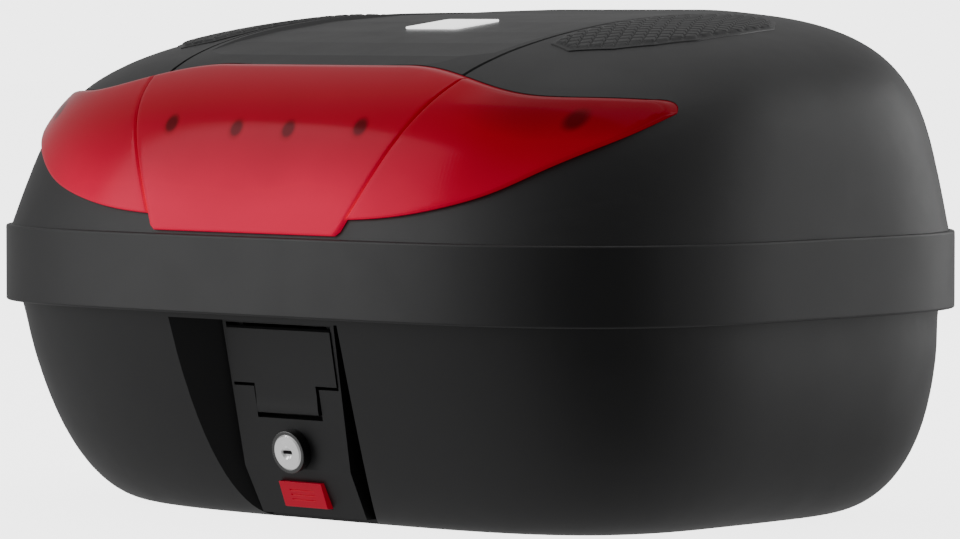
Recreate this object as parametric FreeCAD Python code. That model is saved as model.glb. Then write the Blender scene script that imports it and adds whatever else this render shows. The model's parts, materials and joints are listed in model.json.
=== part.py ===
import FreeCAD, Part
import math
import os

# Motorcycle top case, about 45 litres. Millimetres, +Z up.
# The rear face, with the lamp and the lock, looks towards -Y and the hinge is at +Y.
# Shapes are drawn with the closure band centred on Y = 0 and moved by Y_SHIFT when they are written.

V = FreeCAD.Vector
os.makedirs("parts", exist_ok=True)

# ---- driving dimensions ----
WIDTH = 580.0            # band, side to side
DEPTH = 426.0            # band, rear to front
HEIGHT = 317.5           # underside to lid crown
Z_BAND_LOW = 130.4
Z_BAND_TOP = 179.0
CORNER = 3.9             # superellipse exponent of the rim outline
CORNER_TOP = 2.8         # exponent at the lid crown
WALL = 3.0
OUTLINE_POINTS = 44
Y_SHIFT = -4.5           # puts the bounding box's middle on Y = 0

BASE_INSET = 8.6         # base wall behind the band's outer face
LID_INSET = 3.2          # lid wall behind the band's outer face
BAND_ROUND = 1.5         # rounding of the band's outer edges
Z_RIM = 157.0            # top of the base's rim wall
Z_FLANGE = 161.0         # underside of the band's inner flange
FLANGE = 3.0

CHANNEL_TILT = 16.7      # channel floor, degrees from vertical
CHANNEL_HALF = 48.5      # half-width of the floor at its top
CHANNEL_TAPER = 0.027    # narrowing per millimetre further down
CHANNEL_TOP = 127.0
CHANNEL_Y = -176.0       # floor at the height of the band's lower edge
LOCK_TILT = 11.0         # lock column's upper face, degrees from vertical
LOCK_Y, LOCK_Z = -164.6, 45.9    # key axis where it meets that face
KEY_TRAVEL = 6.0         # bolt travel for a quarter turn of the key

HINGE_Y, HINGE_Z, HINGE_R = 215.0, 122.0, 7.0
HINGE_X = 150.0
PIN_R = 2.5

RECESS_X, RECESS_Y, RECESS_H = 120.0, 100.0, 14.0
HOOK_Y, HOOK_Z = -108.0, 11.0
BUTTON_Z = 18.6          # release stem height

LEVER_LY, LEVER_LZ = 10.0, 72.0  # latch lever axis in the lock frame


# ---- helpers ----
def box(x0, x1, y0, y1, z0, z1):
    return Part.makeBox(x1 - x0, y1 - y0, z1 - z0, V(x0, y0, z0))


def cyl(x, y, z, axis, radius, length):
    return Part.makeCylinder(radius, length, V(x, y, z), V(*axis))


def prism(points, direction):
    wire = Part.makePolygon([V(*p) for p in points + points[:1]])
    return Part.Face(wire).extrude(V(*direction))


def prism_x(points, x0, x1):
    return prism([(x0, y, z) for y, z in points], (x1 - x0, 0, 0))


def prism_y(points, y0, y1):
    return prism([(x, y0, z) for x, z in points], (0, y1 - y0, 0))


def prism_z(points, z0, z1):
    return prism([(x, y, z0) for x, y in points], (0, 0, z1 - z0))


def joined(shapes):
    return shapes[0].multiFuse(shapes[1:]) if len(shapes) > 1 else shapes[0]


def mirrored(points):
    """The same outline on the other side of the middle, in reverse order."""
    return [(-x, z) for x, z in reversed(points)]


def tilted(shape, y, z, degrees):
    out = shape.copy()
    out.Placement = FreeCAD.Placement(V(0, y, z), FreeCAD.Rotation(V(1, 0, 0), degrees))
    return out


def in_lock(shape):
    """Lock frame: y runs into the case and z up the column's face, from the key axis."""
    return tilted(shape, LOCK_Y, LOCK_Z, LOCK_TILT)


def outline(half_x, y_rear, y_front, exponent, z):
    centre = (y_rear + y_front) / 2
    half_y = (y_front - y_rear) / 2
    points = []
    for i in range(OUTLINE_POINTS):
        a = 2 * math.pi * (i + 0.5) / OUTLINE_POINTS
        c, s = math.cos(a), math.sin(a)
        r = (abs(c / half_x) ** exponent + abs(s / half_y) ** exponent) ** (-1 / exponent)
        points.append(V(r * c, centre + r * s, z))
    curve = Part.BSplineCurve()
    curve.interpolate(Points=points, PeriodicFlag=True)
    return Part.Wire(curve.toShape())


def rim_outline(inset, z):
    return outline(WIDTH / 2 - inset, -DEPTH / 2 + inset, DEPTH / 2 - inset, CORNER, z)


def rim_prism(inset, z0, z1):
    return Part.Face(rim_outline(inset, z0)).extrude(V(0, 0, z1 - z0))


def rim_ring(inset_out, inset_in, z0, z1):
    return rim_prism(inset_out, z0, z1).cut(rim_prism(inset_in, z0, z1))


# ---- case surfaces ----
def base_section(z, inset):
    s = 1 - z / Z_BAND_LOW
    g = 1 - (1 - s ** 2.55) ** (1 / 2.55)
    edge = BASE_INSET + inset
    half_x = WIDTH / 2 - edge - 5.3 * s - 74.9 * g
    y_rear = -DEPTH / 2 + edge + 39.8 * s + 35.0 * g
    y_front = DEPTH / 2 - edge - 5.8 * s - 57.5 * g
    return outline(half_x, y_rear, y_front, CORNER, z)


def base_body(inset, z_low):
    steps = [0.0, 0.03, 0.08, 0.15, 0.25, 0.37, 0.5, 0.65, 0.82, 1.0]
    levels = [z_low + (Z_BAND_LOW - z_low) * k for k in steps]
    return Part.makeLoft([base_section(z, inset) for z in levels], True, False)


def lid_values(s, inset):
    """Half width, rear edge, front edge and exponent at a fraction s of the lid's height."""
    k = 1 - s ** 5
    pole = 68.0
    edge = LID_INSET + inset
    half_x = (WIDTH / 2 - edge - 22.3 * s) * k ** 0.355
    y_rear = pole + (-DEPTH / 2 + edge + 35.7 * s - pole) * k ** 0.635
    y_front = pole + (DEPTH / 2 - edge - pole) * k ** 0.105
    return half_x, y_rear, y_front, CORNER + (CORNER_TOP - CORNER) * s


def lid_body(inset):
    top = HEIGHT - inset
    wires = []
    for s in (0, 0.1, 0.22, 0.36, 0.5, 0.63, 0.74, 0.83, 0.9, 0.95, 0.98, 0.995):
        wires.append(outline(*lid_values(s, inset), Z_BAND_TOP + (top - Z_BAND_TOP) * s))
    wires.append(Part.Vertex(V(0, 68, top)))
    return Part.makeLoft(wires, True, False)


def crown_height(y):
    """Lid surface height on the centre line, rear of the crown."""
    low, high = 0.0, 1.0
    for _ in range(40):
        s = (low + high) / 2
        low, high = (s, high) if lid_values(s, 0)[1] < y else (low, s)
    return Z_BAND_TOP + (HEIGHT - Z_BAND_TOP) * low


# Crown panel: at each y, half the distance between its two crests and its depth below the crown
CROWN = {-152: (124, -0.5), -125: (128, 1.5), -90: (131, 3.6), -50: (132, 4.6), 0: (131, 4.6), 60: (127, 4.4),
         110: (122, 3.6), 150: (116, 1.0), 175: (112, -2.0)}


def crown_dish(drop):
    """Space above the shallow dished panel that runs along the lid between two crests."""
    wires = []
    for y, (half, depth) in CROWN.items():
        z = crown_height(min(y, 66)) - depth - drop
        right = [(half - 8, z), (half + 3, z + 8), (half + 3, 345)]
        corners = [V(px, y, pz) for px, pz in right + mirrored(right)]
        wires.append(Part.makePolygon(corners + corners[:1]))
    return Part.makeLoft(wires, True, True)


def lid_top(x, y):
    """Height of the lid's surface above a point near the crown."""
    low, high = 0.0, 1.0
    for _ in range(40):
        s = (low + high) / 2
        hx, y_rear, y_front, n = lid_values(s, 0)
        middle, half = (y_rear + y_front) / 2, (y_front - y_rear) / 2
        inside = abs(x / hx) ** n + abs((y - middle) / half) ** n < 1
        low, high = (s, high) if inside else (low, s)
    return Z_BAND_TOP + (HEIGHT - Z_BAND_TOP) * low


def crest_groove(side):
    """Fine groove that follows one crest of the crown panel."""
    wires = []
    for y, (half, _) in CROWN.items():
        if y > 150:
            continue
        z = lid_top(half, y)
        section = [(-2.2, 4), (-1.1, -1.7), (1.1, -1.7), (2.2, 4)]
        corners = [V(side * (half + dx), y, z + dz) for dx, dz in section]
        wires.append(Part.makePolygon(corners + corners[:1]))
    return Part.makeLoft(wires, True, True)


# ---- lamp lens outline, seen from the rear; right half, the left half mirrors it ----
LENS_TOP = [(70, 282.8), (104, 280.6), (133, 275.2), (158, 269.8), (182, 266), (215, 264.7), (240, 263.4)]
LENS_TIP = [(240, 263.4), (250, 260.5), (253.5, 255.5)]
LENS_LOW = [(253.5, 255.5), (247, 245.8), (232, 234.5), (211, 222.5), (187, 210), (158, 200.8), (124, 194.3),
            (84, 191)]
TAB = [(84, 191), (80, 184), (76, 181)]
JOINT_LOW, JOINT_TOP = (80, 184), (131, 276)


def curve_through(points):
    curve = Part.BSplineCurve()
    curve.interpolate(Points=points)
    return curve.toShape()


def lens_region(grow=0.0):
    """Prism along Y over the whole lens, its edges moved outwards by grow."""
    def place(point, up):
        return V(point[0] + grow, -230, point[1] + up * grow)

    tip = [place(p, up) for p, up in zip(LENS_TIP, (1, 0.5, -1))]
    right = [curve_through([place(p, 1) for p in LENS_TOP]), curve_through(tip),
             curve_through([place(p, -1) for p in LENS_LOW])]
    right += Part.makePolygon([place(p, -1) for p in TAB]).Edges
    left = [edge.mirror(V(0, 0, 0), V(1, 0, 0)) for edge in right]
    top, low = place(LENS_TOP[0], 1), place(TAB[-1], -1)
    ends = [Part.makeLine(V(-p.x, p.y, p.z), p) for p in (top, low)]
    wire = Part.Wire(Part.__sortEdges__(right + left + ends))
    return Part.Face(wire).extrude(V(0, 170, 0))


def lens_half_plane(side, gap):
    """Everything beyond the slanted joint between the middle lens and a side lens."""
    (x0, z0), (x1, z1) = JOINT_LOW, JOINT_TOP
    k = (x1 - x0) / (z1 - z0)
    low, high = x0 + gap + k * (150 - z0), x0 + gap + k * (300 - z0)
    return prism_y([(side * low, 150), (side * 320, 150), (side * 320, 300), (side * high, 300)], -230, -60)


# ---- base ----
def channel_space(grow):
    """Wedge-sided channel in the rear wall; grow moves its walls into the case."""
    wires = []
    for z in (-160, 40):
        half = CHANNEL_HALF + CHANNEL_TAPER * z + grow * 1.3
        points = [(-half, grow), (half, grow), (half + 51.6, -60), (-half - 51.6, -60)]
        corners = [V(x, y, z) for x, y in points]
        wires.append(Part.makePolygon(corners + corners[:1]))
    space = tilted(Part.makeLoft(wires, True, True), CHANNEL_Y, Z_BAND_LOW, CHANNEL_TILT)
    return space.common(box(-200, 200, -260, 0, -20, CHANNEL_TOP + grow))


def lock_column():
    """Outer form of the lock column that stands in the channel."""
    front = prism_x([(-180.4, 126.5), (-162.3, 34), (-146.8, 4), (-110, 4), (-110, 126.5)], -60, 60)
    face = prism_y([(-44, 0), (44, 0), (47.4, 127), (-47.4, 127)], -200, -100)
    floor = tilted(box(-70, 70, -60, 0, -160, 40), CHANNEL_Y, Z_BAND_LOW, CHANNEL_TILT)
    return front.common(face).common(floor)


def hinge_lug(x0, x1, y_back, z_low, z_high):
    barrel = cyl(x0, HINGE_Y, HINGE_Z, (1, 0, 0), HINGE_R, x1 - x0)
    return joined([barrel, box(x0, x1, y_back, HINGE_Y, z_low, z_high)])


FLANGE_SCREWS = [(-42.4, -52), (42.4, -52), (-42.0, -92), (42.0, -92)]   # in the channel floor's frame


def make_base():
    outer = base_body(0, 0).fuse(rim_prism(BASE_INSET, Z_BAND_LOW, Z_RIM))
    outer = outer.cut(channel_space(0))
    cavity = base_body(WALL, 4).fuse(rim_prism(BASE_INSET + WALL, Z_BAND_LOW, Z_RIM + 1))
    plateau = box(-RECESS_X - 4, RECESS_X + 4, -RECESS_Y - 4, RECESS_Y + 4, 0, RECESS_H + 4)
    hook_block = box(-28, 28, -155, -RECESS_Y - 2, 0, 26)
    tongues = [box(sx - 26, sx + 26, RECESS_Y, RECESS_Y + 24, 0, 18) for sx in (-75, 75)]
    cavity = cavity.cut(joined([plateau, hook_block, channel_space(WALL)] + tongues))
    shell = outer.cut(cavity)
    lip = rim_ring(5.2, BASE_INSET + 0.5, 149, 152)
    lugs = []
    for side in (-1, 1):
        for offset in (10.4, -22.4):
            x0 = side * HINGE_X + offset
            lugs.append(hinge_lug(x0, x0 + 12, 192, HINGE_Z - HINGE_R, HINGE_Z + HINGE_R))
    lugs = [lug.cut(base_body(WALL - 0.5, 4)) for lug in lugs]
    shell = joined([shell, lip] + lugs)
    cuts = [box(-RECESS_X, RECESS_X, -RECESS_Y, RECESS_Y, -1, RECESS_H)]
    for sx in (-75, 75):
        cuts.append(box(sx - 22, sx + 22, RECESS_Y - 1, RECESS_Y + 20, 3, 12))
    cuts.append(box(-14, 14, -122, -RECESS_Y + 1, -1, 22))
    cuts.append(box(-8, 8, -175, -134, BUTTON_Z - 8, BUTTON_Z + 5.4))
    cuts.append(box(-4.4, 4.4, -135, -121, BUTTON_Z - 1.6, BUTTON_Z + 1.6))
    window = in_lock(box(-39, 39, -12, 60, -32, 80.5))
    cuts.append(window.common(box(-50, 50, -200, -80, BODY_LOW - 0.4, 140)))
    cuts.append(cyl(-22, HOOK_Y, HOOK_Z, (1, 0, 0), 2.02, 44))
    for side in (-1, 1):
        cuts.append(cyl(side * HINGE_X - 30, HINGE_Y, HINGE_Z, (1, 0, 0), PIN_R + 0.02, 60))
    for x, z in FLANGE_SCREWS:
        cuts.append(tilted(cyl(x, -3, z, (0, 1, 0), 1.9, 12), CHANNEL_Y, Z_BAND_LOW, CHANNEL_TILT))
    return shell.cut(joined(cuts))


# ---- band, lid, seal ----
def make_band():
    skirt = rim_ring(0, 3, Z_BAND_LOW, Z_BAND_TOP)
    rims = [e for e in skirt.Edges if e.BoundBox.ZLength < 0.01 and e.BoundBox.XLength > WIDTH - 2]
    skirt = skirt.makeFillet(BAND_ROUND, rims)
    flange = rim_ring(2.5, 16, Z_FLANGE, Z_FLANGE + FLANGE)
    band = skirt.fuse(flange)
    for side in (-1, 1):
        x = side * HINGE_X
        lug = hinge_lug(x - 10, x + 10, 206.4, HINGE_Z, 158)
        lug = lug.cut(rim_prism(1.5, Z_BAND_LOW, 170))
        lug = lug.cut(box(x - 11, x + 11, 190, 206.4, 100, 160))
        band = band.fuse(lug)
        band = band.cut(cyl(x - 30, HINGE_Y, HINGE_Z, (1, 0, 0), PIN_R + 0.06, 60))
    return band


def make_seal():
    return rim_ring(7.4, 13.2, Z_RIM + 0.2, Z_FLANGE)


LENS_PROUD = 3.0         # lens face outside the lid's surface
LENS_SUNK = 0.6          # lens back inside it
LENS_SCREWS = [(-80, 246), (-22, 244), (22, 244), (80, 246), (-219, 252), (219, 252)]


def surface_y(body, x, z):
    """Rear surface of a body at a given x and height."""
    return body.common(Part.makeLine(V(x, -260, z), V(x, 0, z))).BoundBox.YMin


def lid_insert_region():
    inner = [(138, -70), (137, -20), (139, 40), (146, 92)]
    outer = [(172, 92), (192, 66), (202, 20), (205, -24), (198, -56), (186, -80), (165, -98), (144, -90)]
    return prism_z(inner + outer, 240, 340)


def mirror_x(shape):
    return shape.mirror(V(0, 0, 0), V(1, 0, 0))


def make_lid_parts():
    outer = lid_body(0).cut(joined([crown_dish(0), crest_groove(1), crest_groove(-1)]))
    inner = lid_body(WALL).cut(crown_dish(WALL))
    wall = rim_ring(LID_INSET, LID_INSET + WALL, Z_FLANGE + FLANGE, Z_BAND_TOP)
    shell = outer.cut(inner).fuse(wall)

    lining = lid_body(1.6)
    rear = box(-300, 300, -260, -60, 150, 300)
    skin = lid_body(-LENS_PROUD).common(rear).cut(lid_body(LENS_SUNK))
    lens = skin.common(lens_region())
    pocket = skin.common(lens_region(0.4))
    right = lens.common(lens_half_plane(1, 0.25))
    left = lens.common(lens_half_plane(-1, 0.25))
    middle = lens.cut(joined([lens_half_plane(1, -0.25), lens_half_plane(-1, -0.25)]))

    trim = lid_body(-0.7).cut(lid_body(1.5))
    insert = trim.common(lid_insert_region())
    insert_pocket = trim.common(joined([lid_insert_region(), mirror_x(lid_insert_region())]))
    shell = shell.cut(joined([pocket, insert_pocket]))

    pads, holes, screws = [], [], []
    for x, z in LENS_SCREWS:
        y = surface_y(outer, x, z)
        seat = y + (8 if abs(x) < 100 else 14)
        pads.append(cyl(x, y - 3, z, (0, 1, 0), 6, seat - y + 3))
        holes.append(cyl(x, y - 40, z, (0, 1, 0), 1.9, 80))
        tip = y - LENS_PROUD + 1
        shank = cyl(x, tip, z, (0, 1, 0), 1.75, seat - tip)
        head = cyl(x, seat, z, (0, 1, 0), 4, 2.4)
        drive = box(x - 2.5, x + 2.5, seat + 1.4, seat + 3, z - 0.5, z + 0.5)
        screws.append(joined([shank, head]).cut(drive))
    shell = shell.fuse(Part.Compound(pads).common(lining)).cut(joined(holes))
    screw_group = Part.Compound(screws)
    middle = middle.cut(joined(screws))
    left = left.cut(joined(screws))
    right = right.cut(joined(screws))
    return shell, middle, left, right, screw_group, insert, mirror_x(insert)


def make_badge():
    height = crown_height(-20) - 4.6
    slope = math.degrees(math.atan2(crown_height(0) - crown_height(-40), 40))
    plate = prism_z([(-22.5, -21), (22.5, -21), (22.5, 21), (-22.5, 21)], 0, 1.4)
    plate = plate.makeFillet(3, [e for e in plate.Edges if abs(e.BoundBox.ZLength - 1.4) < 0.01])
    return tilted(plate, -20, height, slope)


# ---- lock column and latch ----
def lever_axis():
    c, s = math.cos(math.radians(LOCK_TILT)), math.sin(math.radians(LOCK_TILT))
    return LOCK_Y + LEVER_LY * c - LEVER_LZ * s, LOCK_Z + LEVER_LY * s + LEVER_LZ * c


COVER_SCREWS = [(-34.6, -17), (34.6, -17), (-34.6, 66), (34.6, 66)]
BUTTON_FACE = [(-160.5, 25.5), (-154.1, 9.5)]
BUTTON_BACK = [(-145.0, 9.5), (-149.7, 25.5)]
BODY_LOW = 27.6          # underside of the lock box


def make_housing():
    column = lock_column()
    body = in_lock(box(-38.6, 38.6, 4, 44, -32, 80)).common(box(-50, 50, -200, -90, BODY_LOW, 140))
    room = joined([box(-35.6, 35.6, 3, 48, -32, 18), box(-35.6, 35.6, 12.2, 48, 17, 43),
                   box(-35.6, 35.6, 3, 48, 42, 92)])
    bosses = joined([box(x - 3.5, x + 3.5, 22, 44, z - 4, z + 4) for x, z in COVER_SCREWS])
    brow = [(5.8, 83.2), (3.4, 82.2), (1.1, 80.3), (0.4, 79.7), (-9, 79.7)]
    wings = prism_x([(-9, 39.4), (7.6, 39.4), (5.8, 68)] + brow, -44.4, 44.4)
    tongue = box(-27.6, 27.6, -9, 10, 19.6, 41)
    barrel = cyl(0, -9, 0, (0, 1, 0), 12.5, 20)
    pin = cyl(-37.2, LEVER_LY, LEVER_LZ, (1, 0, 0), 2.02, 74.4)
    pilots = [cyl(x, 30, z, (0, 1, 0), 1.5, 15) for x, z in COVER_SCREWS]
    room = in_lock(room.cut(bosses)).common(box(-50, 50, -200, -90, BODY_LOW + WALL - 0.2, 150))
    housing = column.fuse(body).cut(room)
    housing = housing.cut(in_lock(joined([wings, tongue, barrel, pin] + pilots)))
    housing = housing.cut(box(-18.5, 18.5, -180, -130, BUTTON_BACK[0][1] - 0.4, BUTTON_BACK[1][1] + 0.4))
    for x, z in FLANGE_SCREWS:
        hole = cyl(x, -6, z, (0, 1, 0), 1.5, 7)
        housing = housing.cut(tilted(hole, CHANNEL_Y, Z_BAND_LOW, CHANNEL_TILT))
    return housing


def screw(x, y, z, head_r, head_h, shank_r, length):
    """Pan screw along +Y with its head's outer face at y + head_h; the shank runs towards -Y."""
    head = cyl(x, y, z, (0, 1, 0), head_r, head_h)
    body = head.fuse(cyl(x, y - length, z, (0, 1, 0), shank_r, length + 0.5))
    slot = box(x - head_r * 0.7, x + head_r * 0.7, y + head_h - 1, y + head_h + 1, z - 0.5, z + 0.5)
    cross = box(x - 0.5, x + 0.5, y + head_h - 1, y + head_h + 1, z - head_r * 0.7, z + head_r * 0.7)
    return body.cut(slot.fuse(cross))


def make_lock_screws():
    flange = []
    for x, z in FLANGE_SCREWS:
        flange.append(tilted(screw(x, 3.05, z, 3.2, 2.4, 1.45, 8), CHANNEL_Y, Z_BAND_LOW, CHANNEL_TILT))
    return Part.Compound(flange)


def make_cover():
    plate = box(-41, 41, 44.05, 46.6, -26.5, 84)
    ribs = [box(6, 35, 37.3, 44.5, z, z + 4) for z in (16, 48)]
    cover = joined([plate] + ribs)
    for x, z in COVER_SCREWS:
        cover = cover.cut(cyl(x, 40, z, (0, 1, 0), 1.8, 10))
    cover = cover.cut(box(-9, 9, 40, 50, 60, 90))
    return in_lock(cover)


def make_cover_screws():
    return in_lock(Part.Compound([screw(x, 46.65, z, 3.2, 2.2, 1.45, 12) for x, z in COVER_SCREWS]))


def make_key_barrel():
    collar = cyl(0, -6.6, 0, (0, 1, 0), 13.4, 6.5)
    sleeve = cyl(0, -0.2, 0, (0, 1, 0), 12.45, 24)
    nut = cyl(0, 3.05, 0, (0, 1, 0), 15.5, 4)
    bore = cyl(0, -8, 0, (0, 1, 0), 11.06, 6.5).fuse(cyl(0, -3, 0, (0, 1, 0), 7.06, 40))
    return in_lock(joined([collar, sleeve, nut]).cut(bore))


def make_key_plug():
    head = cyl(0, -7.4, 0, (0, 1, 0), 11, 5.6)
    body = cyl(0, -2.5, 0, (0, 1, 0), 7, 32)
    neck = cyl(0, 29, 0, (0, 1, 0), 4, 4)
    head = head.makeChamfer(0.8, [e for e in head.Edges if e.BoundBox.YMax < -7.3])
    slot = box(-4.6, 4.6, -9, -1, -1.2, 1.2)
    dimple = Part.makeCone(4.2, 2.6, 1.4, V(0, -7.4, 0), V(0, 1, 0))
    thread = cyl(0, 22, 0, (0, 1, 0), 1.5, 12)
    return in_lock(joined([head, body, neck]).cut(joined([slot, dimple, thread])))


def make_cam():
    """Disc on the plug's end. A spiral slot draws the bolt's pin 6 mm inwards per quarter turn."""
    disc = cyl(0, 29.6, 0, (0, 1, 0), 18.5, 3)
    edges = {-1: [], 1: []}
    rate = KEY_TRAVEL / (math.pi / 2)
    for i in range(13):
        a = math.radians(-110 + 130 * i / 12)
        r = 14 + rate * a
        half = 1.8 / math.cos(math.atan2(rate, r))
        for side in edges:
            edges[side].append(V((r + side * half) * math.cos(a), 29, (r + side * half) * math.sin(a)))
    curves = []
    for side in (-1, 1):
        curve = Part.BSplineCurve()
        curve.interpolate(Points=edges[side])
        curves.append(curve.toShape())
    ends = [Part.makeLine(edges[-1][k], edges[1][k]) for k in (0, -1)]
    face = Part.Face(Part.Wire(Part.__sortEdges__(curves + ends)))
    slot = face.extrude(V(0, 5, 0))
    return in_lock(disc.cut(slot).cut(cyl(0, 29, 0, (0, 1, 0), 4.02, 5)))


def make_cam_screw():
    return in_lock(screw(0, 33.02, 0, 4.8, 2, 1.45, 9))


def make_bolt():
    riser = box(18, 28, 34, 37, -4, 83)
    bridge = box(12.2, 28, 34, 37, -4, 4)
    foot = box(15.5, 28, 23.5, 37, 79, 83)
    pin = cyl(14, 30, 0, (0, 1, 0), 1.5, 5)
    return in_lock(joined([riser, bridge, foot, pin]))


def make_lever():
    plate = prism_x([(-1, 41.6), (3.2, 41.6), (3.2, 73.2), (1.2, 77.6), (0.4, 77.6), (-1, 76.2)], -44, 44)
    tongue = prism_x([(-1.6, 23.6), (-1, 23), (3.2, 23), (3.2, 42), (-1, 42), (-1, 34), (-1.6, 28)], -26, 26)
    hubs = []
    for x0, x1 in ((-30, -24), (-8, 8), (24, 30)):
        hubs.append(cyl(x0, LEVER_LY, LEVER_LZ, (1, 0, 0), 4.5, x1 - x0))
        hubs.append(box(x0, x1, 2, LEVER_LY, LEVER_LZ - 3.5, LEVER_LZ + 3.5))
    lever = in_lock(joined([plate, tongue] + hubs))
    y, z = lever_axis()
    arm = [(0, -4.2), (27, -4.2), (27, 21), (19.2, 21), (19.2, 17), (23.5, 17), (23.5, 0.8), (0, 0.8)]
    lever = lever.fuse(prism_x([(y + a, z + b) for a, b in arm], -7, 7))
    return lever.cut(cyl(-40, y, z, (1, 0, 0), 2.06, 80))


def make_lever_pin():
    return in_lock(cyl(-37, LEVER_LY, LEVER_LZ, (1, 0, 0), 2, 74))


def coil(radius, wire, pitch, turns):
    """Round wire coil on +Z, standing on the origin."""
    helix = Part.makeLongHelix(pitch, pitch * turns, radius)
    profile = Part.Wire(Part.makeCircle(wire / 2, V(radius, 0, 0), V(0, 2 * math.pi * radius, pitch)))
    return Part.Wire(helix.Edges).makePipeShell([profile], True, True)


def make_lever_spring():
    y, z = lever_axis()
    spring = coil(3.0, 0.9, 1.3, 8)
    spring.Placement = FreeCAD.Placement(V(10.8, y, z), FreeCAD.Rotation(V(0, 1, 0), 90))
    return spring


def make_striker():
    y, z = lever_axis()
    out, inn = y + 14.8, y + 18.8
    wall = -DEPTH / 2 + LID_INSET + WALL + 0.05
    bracket = box(-22, 22, wall, wall + 3, 165, 178.4)
    arm = box(-14, 14, wall, inn, 166, 170)
    blade = box(-14, 14, out, inn, z + 5.5, 170)
    rib = prism_x([(out + 1, 166.5), (out + 1, 150), (out - 22, 166.5)], -1.5, 1.5)
    window = box(-8.6, 8.6, out - 1, inn + 1, z + 16.6, z + 25)
    notch = box(9, 15, out - 1, inn + 1, 127.7, 134)
    striker = joined([bracket, arm, blade]).cut(window.fuse(notch))
    ribs = [rib.translated(V(dx, 0, 0)) for dx in (-11, 11)]
    striker = joined([striker] + ribs)
    for x in (-18, 18):
        striker = striker.cut(cyl(x, wall - 1, 172, (0, 1, 0), 1.8, 6))
    return striker


def make_striker_screws():
    y = -DEPTH / 2 + LID_INSET + WALL + 3.1
    return Part.Compound([screw(x, y, 172, 3.2, 2.2, 1.45, 5.2) for x in (-18, 18)])


def make_button():
    outline = BUTTON_FACE + BUTTON_BACK
    block = prism_x(outline, -18, 18)
    core = prism_x([(y + 0.7, z) for y, z in outline], -18, 18)
    grooves = joined([box(-10, 10, -170, -140, z, z + 0.8) for z in (14, 17, 20)]).cut(core)
    stem = box(-4, 4, -150, HOOK_Y - 3.1, BUTTON_Z - 1.1, BUTTON_Z + 1.1)
    return block.cut(grooves).fuse(stem)


def make_button_spring():
    spring = coil(5.6, 0.9, 2.6, 4)
    spring.Placement = FreeCAD.Placement(V(0, -134.5, BUTTON_Z - 1.3), FreeCAD.Rotation(V(1, 0, 0), 90))
    return spring


def make_hook():
    hub = cyl(-8, HOOK_Y, HOOK_Z, (1, 0, 0), 4.2, 16)
    arm = prism_x([(HOOK_Y + a, HOOK_Z + b) for a, b in
                   [(-2.6, 9.5), (1.2, 9.5), (3, 2), (-2, 1), (-0.2, 3.5)]], -5, 5)
    nose = prism_x([(HOOK_Y + a, HOOK_Z + b) for a, b in
                    [(-4, 0), (-3.4, -7), (11, -7), (11, -4), (4, -3), (4, 0)]], -8, 8)
    return joined([hub, arm, nose]).cut(cyl(-20, HOOK_Y, HOOK_Z, (1, 0, 0), 2.05, 40))


def make_hook_pin():
    return cyl(-21.8, HOOK_Y, HOOK_Z, (1, 0, 0), 2, 43.6)


def make_hinge_pins():
    return Part.Compound([cyl(s * HINGE_X - 23, HINGE_Y, HINGE_Z, (1, 0, 0), PIN_R, 46) for s in (-1, 1)])


# ---- write the parts ----
def write(name, shape):
    placed = shape.copy()
    placed.translate(V(0, Y_SHIFT, 0))
    placed.exportStep("parts/" + name + ".step")


lid, lens_mid, lens_l, lens_r, lens_fix, insert_r, insert_l = make_lid_parts()
striker_screws = make_striker_screws()
lid = lid.cut(joined([cyl(x, -210.2, 172, (0, 1, 0), 1.5, 6) for x in (-18, 18)]))

write("base_shell", make_base())
write("rim_band", make_band())
write("lid_seal", make_seal())
write("lid_shell", lid)
write("lens_middle", lens_mid)
write("lens_left", lens_l)
write("lens_right", lens_r)
write("lens_screws", lens_fix)
write("top_insert_right", insert_r)
write("top_insert_left", insert_l)
write("badge_plate", make_badge())
write("lock_housing", make_housing())
write("lock_screws", make_lock_screws())
write("lock_back_cover", make_cover())
write("cover_screws", make_cover_screws())
write("key_barrel", make_key_barrel())
write("key_plug", make_key_plug())
write("lock_cam", make_cam())
write("cam_screw", make_cam_screw())
write("lock_bolt", make_bolt())
write("latch_lever", make_lever())
write("lever_pin", make_lever_pin())
write("lever_spring", make_lever_spring())
write("lid_striker", make_striker())
write("striker_screws", striker_screws)
write("release_button", make_button())
write("button_spring", make_button_spring())
write("mount_hook", make_hook())
write("hook_pin", make_hook_pin())
write("hinge_pins", make_hinge_pins())
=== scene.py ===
"""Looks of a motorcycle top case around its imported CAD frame: metres, +Z up, lamp and lock face to -Y."""

import json
import math

import bmesh
import bpy
import numpy as np
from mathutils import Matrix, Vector
from mathutils.geometry import delaunay_2d_cdt


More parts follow.
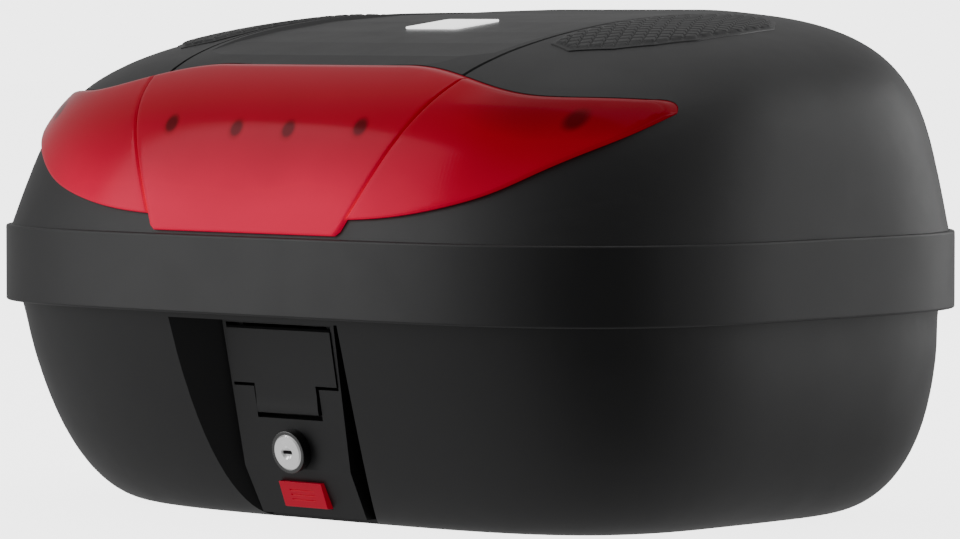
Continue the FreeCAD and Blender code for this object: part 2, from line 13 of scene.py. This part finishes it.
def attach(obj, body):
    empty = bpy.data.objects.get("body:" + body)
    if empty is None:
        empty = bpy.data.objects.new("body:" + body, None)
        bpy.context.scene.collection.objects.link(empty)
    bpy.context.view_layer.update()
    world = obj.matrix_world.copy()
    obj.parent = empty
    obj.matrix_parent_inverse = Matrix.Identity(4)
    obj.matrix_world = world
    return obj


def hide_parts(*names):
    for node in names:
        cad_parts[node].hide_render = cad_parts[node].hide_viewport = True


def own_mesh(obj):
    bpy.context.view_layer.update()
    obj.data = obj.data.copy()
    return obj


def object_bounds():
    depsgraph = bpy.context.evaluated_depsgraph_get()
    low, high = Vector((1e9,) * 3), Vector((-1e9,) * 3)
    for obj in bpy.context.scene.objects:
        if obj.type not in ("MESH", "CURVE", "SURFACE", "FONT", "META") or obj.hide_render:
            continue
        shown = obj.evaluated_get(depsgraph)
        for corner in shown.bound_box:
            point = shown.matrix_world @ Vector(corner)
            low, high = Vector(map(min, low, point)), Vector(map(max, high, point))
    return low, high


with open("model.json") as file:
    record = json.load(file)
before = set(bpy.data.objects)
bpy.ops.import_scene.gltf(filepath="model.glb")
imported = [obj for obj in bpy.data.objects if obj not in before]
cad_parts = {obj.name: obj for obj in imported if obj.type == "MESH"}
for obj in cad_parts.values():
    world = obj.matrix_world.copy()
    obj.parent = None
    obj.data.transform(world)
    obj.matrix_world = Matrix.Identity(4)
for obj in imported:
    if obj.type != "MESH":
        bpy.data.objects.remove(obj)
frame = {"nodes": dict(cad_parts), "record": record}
cad_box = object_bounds()
nodes = frame["nodes"]


# ---- camera ----
AZIMUTH, ELEVATION = math.radians(41.99), math.radians(2.72)
DISTANCE = 3.5
TARGET = Vector((0, -0.0045, 0.1513))


def make_camera():
    back = Vector((math.sin(AZIMUTH) * math.cos(ELEVATION), -math.cos(AZIMUTH) * math.cos(ELEVATION),
                   math.sin(ELEVATION)))
    data = bpy.data.cameras.new("camera")
    data.lens = 206.0
    data.sensor_width = 36
    data.shift_x = 0.0066
    data.clip_end = 50
    camera = bpy.data.objects.new("camera", data)
    camera.location = TARGET + back * DISTANCE
    camera.rotation_euler = (-back).to_track_quat("-Z", "Y").to_euler()
    bpy.context.scene.collection.objects.link(camera)
    bpy.context.scene.camera = camera


# ---- light: directions seen from the object, and strengths ----
TO_CAMERA = Vector((math.sin(AZIMUTH), -math.cos(AZIMUTH), 0))
TO_RIGHT = Vector((math.cos(AZIMUTH), math.sin(AZIMUTH), 0))
UP = Vector((0, 0, 1))
LIT_POINT = (0, 0, 0.15)
STUDIO_LIGHT, STUDIO_DARK = 0.42, 0.062
FLOOR_LIGHT, FLOOR_DARK = 0.5, 0.12
BACKDROP = 5.0
FLOOR_GLOW = 3.6


# ---- node helpers ----
class Graph:
    """A node tree whose nodes are made and joined in a few words."""

    def __init__(self, tree):
        self.tree = tree

    def add(self, kind, **inputs):
        node = self.tree.nodes.new(kind)
        for key, value in inputs.items():
            self.feed(node, key, value)
        return node

    def feed(self, node, key, value):
        numbered = key[0] == "_" and key[1:].isdigit()
        socket = node.inputs[int(key[1:])] if numbered else node.inputs[key.replace("_", " ")]
        if isinstance(value, bpy.types.NodeSocket):
            self.tree.links.new(value, socket)
        else:
            socket.default_value = value

    def math(self, operation, a, b=0.0, c=0.0):
        node = self.tree.nodes.new("ShaderNodeMath")
        node.operation = operation
        for i, value in enumerate((a, b, c)):
            self.feed(node, f"_{i}", value)
        return node.outputs[0]

    def vector(self, operation, a, b, output):
        node = self.add("ShaderNodeVectorMath", _0=a, _1=b)
        node.operation = operation
        return node.outputs[output]

    def ease(self, value, low, high, start, end):
        """Start up to low, end from high, and a smooth change between."""
        node = self.add("ShaderNodeMapRange", Value=value, From_Min=low, From_Max=high, To_Min=start,
                        To_Max=end)
        node.interpolation_type = "SMOOTHSTEP"
        return node.outputs[0]


class Shader(Graph):
    """A material on one Principled surface."""

    def __init__(self, name):
        self.material = bpy.data.materials.new(name)
        self.material.use_nodes = True
        super().__init__(self.material.node_tree)
        self.bsdf = self.tree.nodes["Principled BSDF"]
        self.position = self.add("ShaderNodeTexCoord").outputs["Object"]

    def noise(self, scale, detail=2.0, roughness=0.5, vector=None):
        node = self.add("ShaderNodeTexNoise", Vector=vector or self.position, Scale=scale, Detail=detail,
                        Roughness=roughness)
        return node.outputs[0]

    def ramp(self, factor, stops):
        node = self.tree.nodes.new("ShaderNodeValToRGB")
        self.tree.links.new(factor, node.inputs[0])
        elements = node.color_ramp.elements
        while len(elements) < len(stops):
            elements.new(0.5)
        for element, (place, value) in zip(elements, stops):
            element.position = place
            element.color = (*value, 1) if hasattr(value, "__len__") else (value, value, value, 1)
        return node.outputs[0]

    def bump(self, height, strength, distance, normal=None):
        node = self.add("ShaderNodeBump", Height=height, Strength=strength, Distance=distance)
        if normal:
            self.tree.links.new(normal, node.inputs["Normal"])
        return node.outputs[0]

    def surface(self, **inputs):
        for key, value in inputs.items():
            self.feed(self.bsdf, key, value)
        return self.material


def plastic(name, tone, roughness):
    """Moulded satin plastic: fine spark-eroded grain, faint cloudy tone and a little wear in the gloss."""
    m = Shader(name)
    fine = m.noise(1900, 3, 0.6)
    pits = m.add("ShaderNodeTexVoronoi", Vector=m.position, Scale=1300.0).outputs["Distance"]
    cloud = m.noise(9, 3, 0.5)
    colour = m.ramp(cloud, [(0.3, [t * 0.88 for t in tone]), (0.7, [t * 1.1 for t in tone])])
    gloss = m.math("MULTIPLY_ADD", m.noise(35, 4, 0.6), 0.1, roughness - 0.05)
    height = m.math("ADD", m.math("MULTIPLY", fine, 0.6), m.math("MULTIPLY", pits, 0.5))
    normal = m.bump(height, 0.35, 0.00012)
    return m.surface(Base_Color=colour, Roughness=gloss, Normal=normal)


def metal(name, tone, roughness, brushed=0.0, painted_glow=0.0, painted_shade=None):
    """Bright metal with fine scratches; any glow is painted light, and a shade function may give a factor of
    painted shade that darkens parts of it.
    """
    m = Shader(name)
    scratches = m.noise(600, 4, 0.7)
    gloss = m.math("MULTIPLY_ADD", scratches, 0.12, roughness)
    colour = m.ramp(m.noise(120, 3), [(0.3, [t * 0.9 for t in tone]), (0.7, tone)])
    if painted_shade:
        # painted shade: the colour is darkened by the given factor
        colour = m.vector("MULTIPLY", colour, painted_shade(m), "Vector")
    normal = m.bump(scratches, 0.1 + brushed, 0.00004)
    # the glow is painted light: the metal lights its own colour
    return m.surface(Base_Color=colour, Emission_Color=colour, Emission_Strength=painted_glow, Metallic=1.0,
                     Roughness=gloss, Normal=normal)


# ---- key slot: painted shade, set by the depth behind the plug's face and the distance from its axis ----
SLOT_DEPTHS = (0.0002, 0.0016, 1.0, 0.03)
SLOT_RADII = (0.0047, 0.0054, 0.0, 1.0)


def key_slot_painted_shade(m):
    """Painted shade for the key slot: 1 on the plug's face and sides, nearly 0 down inside its key slot."""
    joint = next(j for j in frame["record"]["behaviour"]["joints"] if j["name"] == "key_turn")
    axis, centre = Vector(joint["axis"]), Vector(joint["pos_m"])
    face = min(v.co.dot(axis) for v in nodes["key_barrel"].data.vertices)
    depth = m.math("SUBTRACT", m.vector("DOT_PRODUCT", m.position, axis, "Value"), face)
    off = m.vector("SUBTRACT", m.position, centre, "Vector")
    radius = m.vector("LENGTH", m.vector("CROSS_PRODUCT", off, axis, "Vector"), (0, 0, 0), "Value")
    return m.math("MAXIMUM", m.ease(depth, *SLOT_DEPTHS), m.ease(radius, *SLOT_RADII))


def welded(node):
    """A CAD node's mesh, open for editing, with its shared corners joined."""
    bm = bmesh.new()
    bm.from_mesh(nodes[node].data)
    bmesh.ops.remove_doubles(bm, verts=bm.verts, dist=2e-6)
    return bm


def solid_centres(node):
    """Middle of each separate solid in a CAD node."""
    bm = welded(node)
    left, centres = set(bm.verts), []
    for first in list(bm.verts):
        if first not in left:
            continue
        left.discard(first)
        island = [first]
        for vert in island:
            near = [edge.other_vert(vert) for edge in vert.link_edges]
            island += [v for v in near if v in left]
            left.difference_update(near)
        low, high = (Vector(f(v.co[i] for v in island) for i in range(3)) for f in (min, max))
        centres.append((low + high) / 2)
    bm.free()
    return centres


# ---- lens painted light and painted shade: from, to, and the value at each, along an axis or out from a boss ----
PAINTED_LIGHT_UP = (0.184, 0.26, 1.0, 0.14)
PAINTED_LIGHT_RIGHT = (0.09, 0.2, 1.0, 0.45)
PAINTED_LIGHT_LEFT = (-0.27, -0.14, 0.5, 1.0)
BOSS_PAINTED_SHADE = (0.003, 0.0085, 0.05, 1.0)
LENS_REDS_BY_PAINTED_LIGHT = [(0.0, (0.07, 0.0, 0.001)), (0.12, (0.3, 0.0, 0.01)), (0.5, (0.5, 0.0, 0.026)),
             (1.0, (0.8, 0.0, 0.05))]
FLUTE_RADIANS = 2400.0          # phase of the fluted bump per metre across


def red_lens():
    """Red moulding over a pale reflector, with painted light brightest low in the middle and darker towards
    the top, and painted shade where its bosses stand behind.
    """
    m = Shader("lens_red")
    parts = m.add("ShaderNodeSeparateXYZ", Vector=m.position)
    x, z = parts.outputs[0], parts.outputs[2]
    # painted light: brighter low in the middle, darker towards the top and both ends, with a little random
    # change
    painted_light = m.math("MULTIPLY", m.ease(z, *PAINTED_LIGHT_UP), m.ease(x, *PAINTED_LIGHT_RIGHT))
    painted_light = m.math("MULTIPLY", painted_light, m.ease(x, *PAINTED_LIGHT_LEFT))
    painted_light = m.math("MULTIPLY", painted_light, m.math("MULTIPLY_ADD", m.noise(16, 2), 0.5, 0.75))
    flat = m.add("ShaderNodeCombineXYZ", X=x, Z=z).outputs[0]
    # painted shade where the screw bosses stand behind the lens
    for centre in solid_centres("lens_screws"):
        gap = m.vector("DISTANCE", flat, (centre.x, 0, centre.z), "Value")
        painted_light = m.math("MULTIPLY", painted_light, m.ease(gap, *BOSS_PAINTED_SHADE))
    colour = m.ramp(painted_light, LENS_REDS_BY_PAINTED_LIGHT)
    flutes = m.math("SINE", m.math("MULTIPLY", x, FLUTE_RADIANS))
    # the lens glows with this colour though its lamp is not lit: painted light
    return m.surface(Base_Color=colour, Emission_Color=colour, Emission_Strength=0.48, Roughness=0.14,
                     Normal=m.bump(flutes, 0.05, 0.0001), Specular_IOR_Level=0.25,
                     Specular_Tint=(1, 0.1, 0.2, 1))


def rubber(name):
    m = Shader(name)
    normal = m.bump(m.noise(900, 3), 0.3, 0.0001)
    colour = m.ramp(m.noise(20), [(0.3, 0.012), (0.7, 0.02)])
    return m.surface(Base_Color=colour, Roughness=0.75, Normal=normal)


def enamel(name, tone, roughness, painted_glow=0.0, gloss_level=0.5):
    m = Shader(name)
    colour = m.ramp(m.noise(25), [(0.3, [t * 0.94 for t in tone]), (0.7, tone)])
    normal = m.bump(m.noise(1500, 2), 0.08, 0.00006)
    gloss = m.math("MULTIPLY_ADD", m.noise(60, 3), 0.08, roughness)
    # the glow is painted light: the enamel lights its own colour
    return m.surface(Base_Color=colour, Emission_Color=colour, Emission_Strength=painted_glow, Roughness=gloss,
                     Specular_IOR_Level=gloss_level, Normal=normal)


CHARCOAL = (0.018, 0.018, 0.019)


def make_materials():
    return {
        "shell_plastic": plastic("shell_plastic", CHARCOAL, 0.46),
        "lid_plastic": plastic("lid_plastic", CHARCOAL, 0.46),
        "band_plastic": plastic("band_plastic", (0.022, 0.022, 0.023), 0.44),
        "column_plastic": plastic("column_plastic", (0.017, 0.017, 0.018), 0.46),
        "lever_plastic": plastic("lever_plastic", (0.016, 0.016, 0.017), 0.44),
        "inner_plastic": plastic("inner_plastic", (0.022, 0.022, 0.022), 0.55),
        "insert_plastic": plastic("insert_plastic", (0.016, 0.016, 0.017), 0.42),
        "seal_rubber": rubber("seal_rubber"),
        "lens_red": red_lens(),
        # badge_white glows: painted light, emission on a part that is no lamp
        "badge_white": enamel("badge_white", (0.95, 0.95, 0.95), 0.3, 1.8),
        "barrel_chrome": metal("barrel_chrome", (0.16, 0.16, 0.16), 0.22),
        # key_chrome: a glow of 0.3 as painted reflection all over, and painted shade inside the key slot
        "key_chrome": metal("key_chrome", (0.95, 0.95, 0.95), 0.14, painted_glow=0.3, painted_shade=key_slot_painted_shade),
        "zinc_steel": metal("zinc_steel", (0.55, 0.55, 0.53), 0.3, 0.1),
        "screw_steel": metal("screw_steel", (0.6, 0.6, 0.6), 0.28),
        "pin_steel": metal("pin_steel", (0.62, 0.62, 0.62), 0.2),
        "spring_steel": metal("spring_steel", (0.5, 0.5, 0.5), 0.25),
        # button_red glows a little: painted light
        "button_red": enamel("button_red", (0.75, 0.0, 0.035), 0.3, 0.15, 0.25),
    }


def dress(materials):
    for row in frame["record"]["subparts"]:
        obj = nodes[row["node"]]
        obj.data.materials.clear()
        obj.data.materials.append(materials[row["material_slot"]])


# ---- lid surface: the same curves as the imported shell, in millimetres ----
HALF_WIDTH, HALF_DEPTH, CROWN_TOP, BAND_TOP = 290.0, 213.0, 317.5, 179.0
LID_INSET, Y_SHIFT, POLE = 3.2, -4.5, 68.0


def lid_values(s, grow):
    """Half width, middle, half depth and exponent at a fraction s of the lid's height."""
    k = 1 - s ** 5
    half_x = (HALF_WIDTH - LID_INSET + grow - 22.3 * s) * k ** 0.355
    rear = POLE + (-HALF_DEPTH + LID_INSET - grow + 35.7 * s - POLE) * k ** 0.635
    front = POLE + (HALF_DEPTH - LID_INSET + grow - POLE) * k ** 0.105
    return half_x, (rear + front) / 2, (front - rear) / 2, 3.9 - 1.1 * s


def lid_rear(x, z, grow):
    """Y of the lid's rear surface, moved outwards by grow."""
    half_x, middle, half_y, n = lid_values((z - BAND_TOP) / (CROWN_TOP + grow - BAND_TOP), grow)
    return middle - half_y * np.maximum(1 - np.abs(x / half_x) ** n, 1e-6) ** (1 / n) + Y_SHIFT


def lid_above(x, y, grow):
    """Height of the lid's surface over points near the crown, by halving the height's range."""
    low, high = np.full(len(x), 0.4), np.ones(len(x))
    for _ in range(30):
        s = (low + high) / 2
        half_x, middle, half_y, n = lid_values(np.minimum(s, 0.99999), grow)
        inside = np.abs(x / half_x) ** n + np.abs((y - Y_SHIFT - middle) / half_y) ** n < 1
        low, high = np.where(inside, s, low), np.where(inside, high, s)
    return BAND_TOP + (CROWN_TOP + grow - BAND_TOP) * low


# ---- outlines and skins ----
SAME_FACE = math.radians(18)    # most turn between neighbouring triangles of one smooth face


def patch_outline(node, direction, plane):
    """Border of a CAD node's smooth face that looks along direction: millimetres in the two axes of plane."""
    bm = welded(node)
    bm.normal_update()
    look = Vector(direction)
    seed = max(bm.faces, key=lambda f: f.normal.dot(look) * f.calc_area())
    patch, queue = {seed}, [seed]
    while queue:
        face = queue.pop()
        for edge in face.edges:
            for other in edge.link_faces:
                if other not in patch and face.normal.angle(other.normal, 3) < SAME_FACE:
                    patch.add(other)
                    queue.append(other)
    following = {}
    for face in patch:
        for loop in face.loops:
            if sum(f in patch for f in loop.edge.link_faces) == 1:
                following[loop.vert] = loop.link_loop_next.vert
    vert = next(iter(sorted(following, key=lambda v: (v.co.x, v.co.z))))
    path = []
    while vert in following:
        path.append([vert.co[axis] * 1000 for axis in plane])
        vert = following.pop(vert)
    bm.free()
    return evened(np.array(path))


def evened(path, longest=3.0, shortest=0.7):
    """A closed path whose points are neither crowded nor far apart."""
    kept = [path[0]]
    for point in path[1:]:
        if np.linalg.norm(point - kept[-1]) > shortest:
            kept.append(point)
    if np.linalg.norm(kept[0] - kept[-1]) < shortest:
        kept.pop()
    out = []
    for a, b in zip(kept, kept[1:] + kept[:1]):
        pieces = max(1, math.ceil(np.linalg.norm(b - a) / longest))
        out += [a + (b - a) * i / pieces for i in range(pieces)]
    out = np.array(out)
    x, y = out.T
    turning = np.sum(x * np.roll(y, -1) - y * np.roll(x, -1))
    return out if turning > 0 else out[::-1]


def inset(path, distance):
    """A closed counter-clockwise path moved inwards."""
    ahead = np.roll(path, -1, 0) - path
    ahead /= np.linalg.norm(ahead, axis=1, keepdims=True)
    behind = np.roll(ahead, 1, 0)
    across = np.stack([-ahead[:, 1] - behind[:, 1], ahead[:, 0] + behind[:, 0]], 1)
    across /= np.linalg.norm(across, axis=1, keepdims=True)
    square = np.abs(np.sum(across * np.stack([-ahead[:, 1], ahead[:, 0]], 1), 1))
    return path + across * (distance / np.maximum(square, 0.6))[:, None]


def border_distance(points, path):
    best = np.full(len(points), 1e9)
    for a, b in zip(path, np.roll(path, -1, 0)):
        run = b - a
        t = np.clip(((points - a) @ run) / (run @ run), 0, 1)
        best = np.minimum(best, np.linalg.norm(points - a - t[:, None] * run, axis=1))
    return best


def inside_path(points, path):
    x, y = points.T
    count = np.zeros(len(points), int)
    for (x0, y0), (x1, y1) in zip(path, np.roll(path, -1, 0)):
        if y0 != y1:
            crosses = (y0 > y) != (y1 > y)
            count += crosses & (x < x0 + (y - y0) * (x1 - x0) / (y1 - y0))
    return count % 2 == 1


def capped_skin(name, path, rings, lattice, place):
    """A skin with rounded edges: rings of (inset, rise) from the foot to the top, then a filled middle.

    lattice(path) gives the points inside the last ring, and place(points, rise, inner) gives 3-D points.
    """
    levels = [(inset(path, gap), rise) for gap, rise in rings]
    top, rise = levels[-1]
    inner = lattice(top)
    corners = [Vector(p) for p in np.concatenate([top, inner])]
    count = len(path)
    flat = delaunay_2d_cdt(corners, [], [list(range(count))], 1, 1e-6)
    points = np.array([tuple(v) for v in flat[0]])
    source = [origin[0] if origin else -1 for origin in flat[3]]
    verts = [p for ring, up in levels for p in place(ring, up, False)]
    start = len(verts)
    on_ring = {i: origin for i, origin in enumerate(source) if 0 <= origin < count}
    verts += list(place(points, rise, True))
    number = [start - count + on_ring[i] if i in on_ring else start + i for i in range(len(points))]
    faces = [tuple(number[i] for i in face) for face in flat[2]]
    for k in range(len(levels) - 1):
        for i in range(count):
            j = (i + 1) % count
            faces.append((k * count + i, k * count + j, (k + 1) * count + j, (k + 1) * count + i))
    mesh = bpy.data.meshes.new(name)
    mesh.from_pydata([tuple(c * 0.001 for c in v) for v in verts], [], faces)
    bm = bmesh.new()
    bm.from_mesh(mesh)
    loose = [v for v in bm.verts if not v.link_faces]
    bmesh.ops.delete(bm, geom=loose, context="VERTS")
    bm.to_mesh(mesh)
    bm.free()
    smooth(mesh, 50)
    return add_piece(name, mesh)


def smooth(mesh, sharp_from):
    """Smooth shading, but for edges that turn by sharp_from degrees or more."""
    mesh.shade_smooth()
    mesh.set_sharp_from_angle(angle=math.radians(sharp_from))


def add_piece(name, mesh):
    piece = bpy.data.objects.new(name, mesh)
    bpy.context.scene.collection.objects.link(piece)
    return piece


def rounded(edge, top, foot):
    """Ring list for a quarter-round edge of the given radius up to the height top, on a wall from foot."""
    turns = [math.radians(22.5 * i) for i in range(5)]
    return [(0, foot)] + [(edge * (1 - math.cos(a)), top - edge * (1 - math.sin(a))) for a in turns]


def even_grid(step, margin):
    def lattice(path):
        low, high = path.min(0), path.max(0)
        xs, ys = np.arange(low[0], high[0], step), np.arange(low[1], high[1], step)
        points = np.stack(np.meshgrid(xs, ys), -1).reshape(-1, 2)
        points = points[inside_path(points, path)]
        return points[border_distance(points, path) > margin]
    return lattice


def stand_in(piece, node, materials):
    """The piece takes a CAD node's place, body and finish."""
    slot = next(row["material_slot"] for row in frame["record"]["subparts"] if row["node"] == node)
    body = next(b for b, members in frame["record"]["behaviour"]["bodies"].items() if node in members)
    piece.data.materials.clear()
    piece.data.materials.append(materials[slot])
    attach(piece, body)
    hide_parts(node)


# ---- lamp lens ----
LENS_PROUD, LENS_FOOT, LENS_EDGE = 3.0, -0.5, 1.6
LENS_GRID, LENS_MARGIN = 3.0, 1.4


def make_lens(node, materials):
    def place(points, rise, _):
        x, z = points.T
        return np.stack([x, lid_rear(x, z, rise), z], 1)

    path = patch_outline(node, (0, -1, 0), (0, 2))
    rings = rounded(LENS_EDGE, LENS_PROUD, LENS_FOOT)
    piece = capped_skin(node + "_cover", path, rings, even_grid(LENS_GRID, LENS_MARGIN), place)
    stand_in(piece, node, materials)


# ---- grip inserts on the crown ----
INSERT_PROUD, INSERT_EDGE, INSERT_FOOT = 0.7, 0.5, -0.6
DIAMOND, DIAMOND_RISE, DIAMOND_SPLIT = 7.5, 1.4, 6
DIAMOND_LEAN = math.radians(32)
DIAMOND_SLOPE = 3.0             # how steeply a diamond's flanks rise to its flat top
PLAIN_EDGE, FADE_IN = 2.5, 1.5  # border without tread, and the width over which the tread sets in


def diamond_axes():
    c, s = math.cos(DIAMOND_LEAN), math.sin(DIAMOND_LEAN)
    return np.array([[c, s], [-c, s]])


def make_insert(node, materials):
    axes = diamond_axes()

    def lattice(path):
        turned = path @ axes.T / DIAMOND
        low, high = np.floor(turned.min(0)), np.ceil(turned.max(0))
        steps = [np.arange(a * DIAMOND_SPLIT, b * DIAMOND_SPLIT + 1) / DIAMOND_SPLIT
                 for a, b in zip(low, high)]
        turned = np.stack(np.meshgrid(*steps), -1).reshape(-1, 2)
        points = turned @ np.linalg.inv(axes.T) * DIAMOND
        points = points[inside_path(points, path)]
        return points[border_distance(points, path) > 0.8]

    def place(points, rise, inner):
        x, y = points.T
        z = lid_above(x, y, rise)
        if inner:
            across = np.abs((points @ axes.T / DIAMOND) % 1 - 0.5) * 2
            ridge = np.clip((1 - across.max(1)) * DIAMOND_SLOPE, 0, 1)
            fade = np.clip((border_distance(points, path) - PLAIN_EDGE) / FADE_IN, 0, 1)
            z = z + DIAMOND_RISE * ridge * fade
        return np.stack([x, y, z], 1)

    path = patch_outline(node, (0, 0, 1), (0, 1))
    rings = rounded(INSERT_EDGE, INSERT_PROUD, INSERT_FOOT)
    piece = capped_skin(node + "_tread", path, rings, lattice, place)
    stand_in(piece, node, materials)


# ---- moulded and turned pieces with eased edges ----
EASED_EDGES = (("latch_lever", 0.0006), ("release_button", 0.0006), ("key_barrel", 0.0005),
               ("badge_plate", 0.0004))
HARD_EDGE = math.radians(34)


def eased(node, width, materials):
    """A CAD node again, with its hard edges eased by a small radius."""
    bm = welded(node)
    bmesh.ops.dissolve_limit(bm, angle_limit=math.radians(0.6), verts=bm.verts, edges=bm.edges)
    hard = [e for e in bm.edges if len(e.link_faces) == 2 and e.calc_face_angle(0) > HARD_EDGE]
    bmesh.ops.bevel(bm, geom=hard, offset=width, segments=2, profile=0.5, affect="EDGES",
                    clamp_overlap=True)
    mesh = bpy.data.meshes.new(node + "_eased")
    bm.to_mesh(mesh)
    bm.free()
    smooth(mesh, 40)
    piece = add_piece(node + "_eased", mesh)
    piece.modifiers.new("even_normals", "WEIGHTED_NORMAL").keep_sharp = True
    stand_in(piece, node, materials)


def make_button_spring(materials):
    """The coil again, between its seat and the button, as a copy of the CAD node's mesh."""
    piece = add_piece("button_spring_coil", nodes["button_spring"].data.copy())
    stand_in(piece, "button_spring", materials)
    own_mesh(piece)


# ---- stage ----
def area_light(name, place, size, power):
    """A white soft box aimed at the object."""
    data = bpy.data.lights.new(name, "AREA")
    data.shape = "RECTANGLE"
    data.size, data.size_y = size
    data.energy = power
    light = bpy.data.objects.new(name, data)
    light.location = place
    light.rotation_euler = (Vector(LIT_POINT) - place).to_track_quat("-Z", "Y").to_euler()
    bpy.context.scene.collection.objects.link(light)


def make_world():
    """White studio over a white floor, dark only on the camera's side; the backdrop shows white."""
    world = bpy.data.worlds.new("studio")
    world.use_nodes = True
    bpy.context.scene.world = world
    g = Graph(world.node_tree)
    direction = g.add("ShaderNodeTexCoord").outputs["Generated"]
    towards = g.vector("DOT_PRODUCT", direction, TO_CAMERA, "Value")
    walls = g.ease(towards, 0.35, 0.95, STUDIO_LIGHT, STUDIO_DARK)
    floor = g.ease(towards, 0.2, 0.9, FLOOR_LIGHT, FLOOR_DARK)
    height = g.add("ShaderNodeSeparateXYZ", Vector=direction).outputs[2]
    share = g.ease(height, -0.3, 0.02, 1.0, 0.0)
    light = g.math("MULTIPLY_ADD", g.math("SUBTRACT", floor, walls), share, walls)
    studio = g.tree.nodes["Background"]
    g.feed(studio, "Color", (1, 1, 1, 1))
    g.feed(studio, "Strength", light)
    backdrop = g.add("ShaderNodeBackground", Strength=BACKDROP)
    seen = g.add("ShaderNodeLightPath").outputs["Is Camera Ray"]
    mix = g.add("ShaderNodeMixShader", _0=seen, _1=studio.outputs[0], _2=backdrop.outputs[0])
    g.tree.links.new(mix.outputs[0], g.tree.nodes["World Output"].inputs["Surface"])


def make_floor():
    """White paper that shows to the camera only, so it neither lights nor mirrors in the case."""
    bpy.ops.mesh.primitive_plane_add(size=30, location=(0, 0, cad_box[0][2]))
    floor = bpy.context.object
    floor.name = "floor"
    floor.visible_diffuse = False
    floor.visible_glossy = False
    m = Shader("floor_paper")
    m.surface(Base_Color=(0.9, 0.9, 0.9, 1), Roughness=0.9, Emission_Color=(1, 1, 1, 1),
              Emission_Strength=FLOOR_GLOW)
    floor.data.materials.append(m.material)


def make_lights():
    for name, place, size, power in (
        ("left_box", TO_RIGHT * -2.2 + TO_CAMERA * 0.3 + UP * 0.8, (1.2, 2.0), 16),
        ("right_box", TO_RIGHT * 2.0 - TO_CAMERA * 1.4 + UP * 0.8, (1.0, 1.6), 8),
        ("top_box", Vector((0, 0.3, 2.4)), (2.4, 1.6), 6),
        ("side_box", TO_RIGHT * 1.9 - TO_CAMERA * 0.5 + UP * 0.4, (1.2, 1.6), 5),
    ):
        area_light(name, place, size, power)


make_camera()
finishes = make_materials()
dress(finishes)
for part in ("lens_middle", "lens_left", "lens_right"):
    make_lens(part, finishes)
for part in ("top_insert_left", "top_insert_right"):
    make_insert(part, finishes)
for part, radius in EASED_EDGES:
    eased(part, radius, finishes)
make_button_spring(finishes)
make_floor()
make_world()
make_lights()
